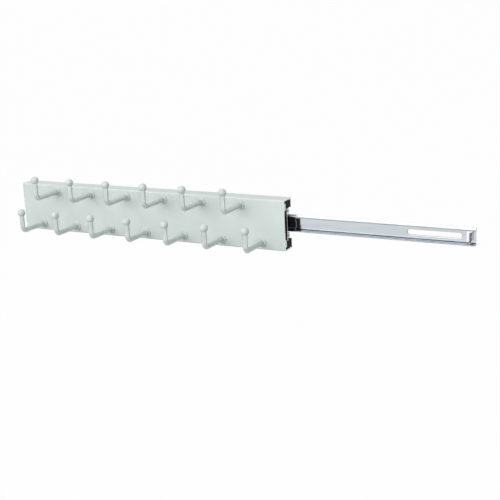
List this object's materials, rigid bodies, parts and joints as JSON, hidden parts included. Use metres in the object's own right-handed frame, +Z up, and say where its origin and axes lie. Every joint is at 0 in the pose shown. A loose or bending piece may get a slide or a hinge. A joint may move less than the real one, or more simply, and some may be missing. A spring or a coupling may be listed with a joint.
{
  "type": "pull-out tie rack",
  "caption": "Pull-out tie rack for a wardrobe side: J-hooks with ball tips on a light grey profile that runs on a bright ball-bearing slide rail.",
  "frame": {"origin": "centre of the back face of the wall rail, on the wall plane", "axes": "+X along the rail towards its rear end with the slot, +Y into the wall, +Z up; the rack pulls out towards -X and its hooks face -Y"},
  "size_m": [0.604, 0.0681, 0.0815],
  "materials": {
    "coated_aluminium": "satin powder coat, light grey",
    "coated_rod": "satin powder coat, light grey",
    "grey_cap": "moulded, light grey",
    "grey_collar": "moulded, light grey",
    "grey_tip": "moulded, light grey",
    "black_plastic": "moulded, black",
    "black_rubber": "matt black",
    "zinc_steel": "bright zinc plated sheet",
    "bright_rail": "bright zinc plated sheet, nearly mirror bright",
    "cage_steel": "plain stamped sheet",
    "ball_steel": "polished balls",
    "zinc_screws": "zinc plated"
  },
  "bodies": {
    "wall_rail": {"wall_rail": "bright_rail"},
    "middle_member": {"slide_middle_member": "zinc_steel", "middle_end_bumper": "black_plastic"},
    "rack": {"rack_profile": "coated_aluminium", "front_end_cap": "grey_cap", "front_slide_carrier": "black_plastic", "centre_slide_carrier": "black_plastic", "rear_slide_carrier": "black_plastic", "slide_screws": "zinc_screws", "slide_outer_member": "zinc_steel", "closing_buffer": "black_rubber", "hook_upper_1": "coated_rod", "hook_upper_2": "coated_rod", "hook_upper_3": "coated_rod", "hook_upper_4": "coated_rod", "hook_upper_5": "coated_rod", "hook_upper_6": "coated_rod", "hook_lower_1": "coated_rod", "hook_lower_2": "coated_rod", "hook_lower_3": "coated_rod", "hook_lower_4": "coated_rod", "hook_lower_5": "coated_rod", "hook_lower_6": "coated_rod", "hook_lower_7": "coated_rod", "collar_upper_1": "grey_collar", "collar_upper_2": "grey_collar", "collar_upper_3": "grey_collar", "collar_upper_4": "grey_collar", "collar_upper_5": "grey_collar", "collar_upper_6": "grey_collar", "collar_lower_1": "grey_collar", "collar_lower_2": "grey_collar", "collar_lower_3": "grey_collar", "collar_lower_4": "grey_collar", "collar_lower_5": "grey_collar", "collar_lower_6": "grey_collar", "collar_lower_7": "grey_collar", "tip_upper_1": "grey_tip", "tip_upper_2": "grey_tip", "tip_upper_3": "grey_tip", "tip_upper_4": "grey_tip", "tip_upper_5": "grey_tip", "tip_upper_6": "grey_tip", "tip_lower_1": "grey_tip", "tip_lower_2": "grey_tip", "tip_lower_3": "grey_tip", "tip_lower_4": "grey_tip", "tip_lower_5": "grey_tip", "tip_lower_6": "grey_tip", "tip_lower_7": "grey_tip"},
    "inner_cage": {"inner_ball_cage": "cage_steel", "inner_balls": "ball_steel"},
    "outer_cage": {"outer_ball_cage": "cage_steel", "outer_balls": "ball_steel"}
  },
  "joints": [
    {"name": "middle_slide", "type": "slide", "parent": "wall_rail", "child": "middle_member", "axis": [1, 0, 0], "range_m": [0, 0.204]},
    {"name": "rack_slide", "type": "slide", "parent": "middle_member", "child": "rack", "axis": [1, 0, 0], "range_m": [-0.17, 0]},
    {"name": "inner_cage_slide", "type": "slide", "parent": "wall_rail", "child": "inner_cage", "axis": [1, 0, 0], "range_m": [0, 0.102]},
    {"name": "outer_cage_slide", "type": "slide", "parent": "middle_member", "child": "outer_cage", "axis": [1, 0, 0], "range_m": [-0.085, 0]}
  ],
  "couplings": [
    {"joint": "inner_cage_slide", "follows": "middle_slide", "ratio": 0.5},
    {"joint": "outer_cage_slide", "follows": "rack_slide", "ratio": 0.5}
  ]
}
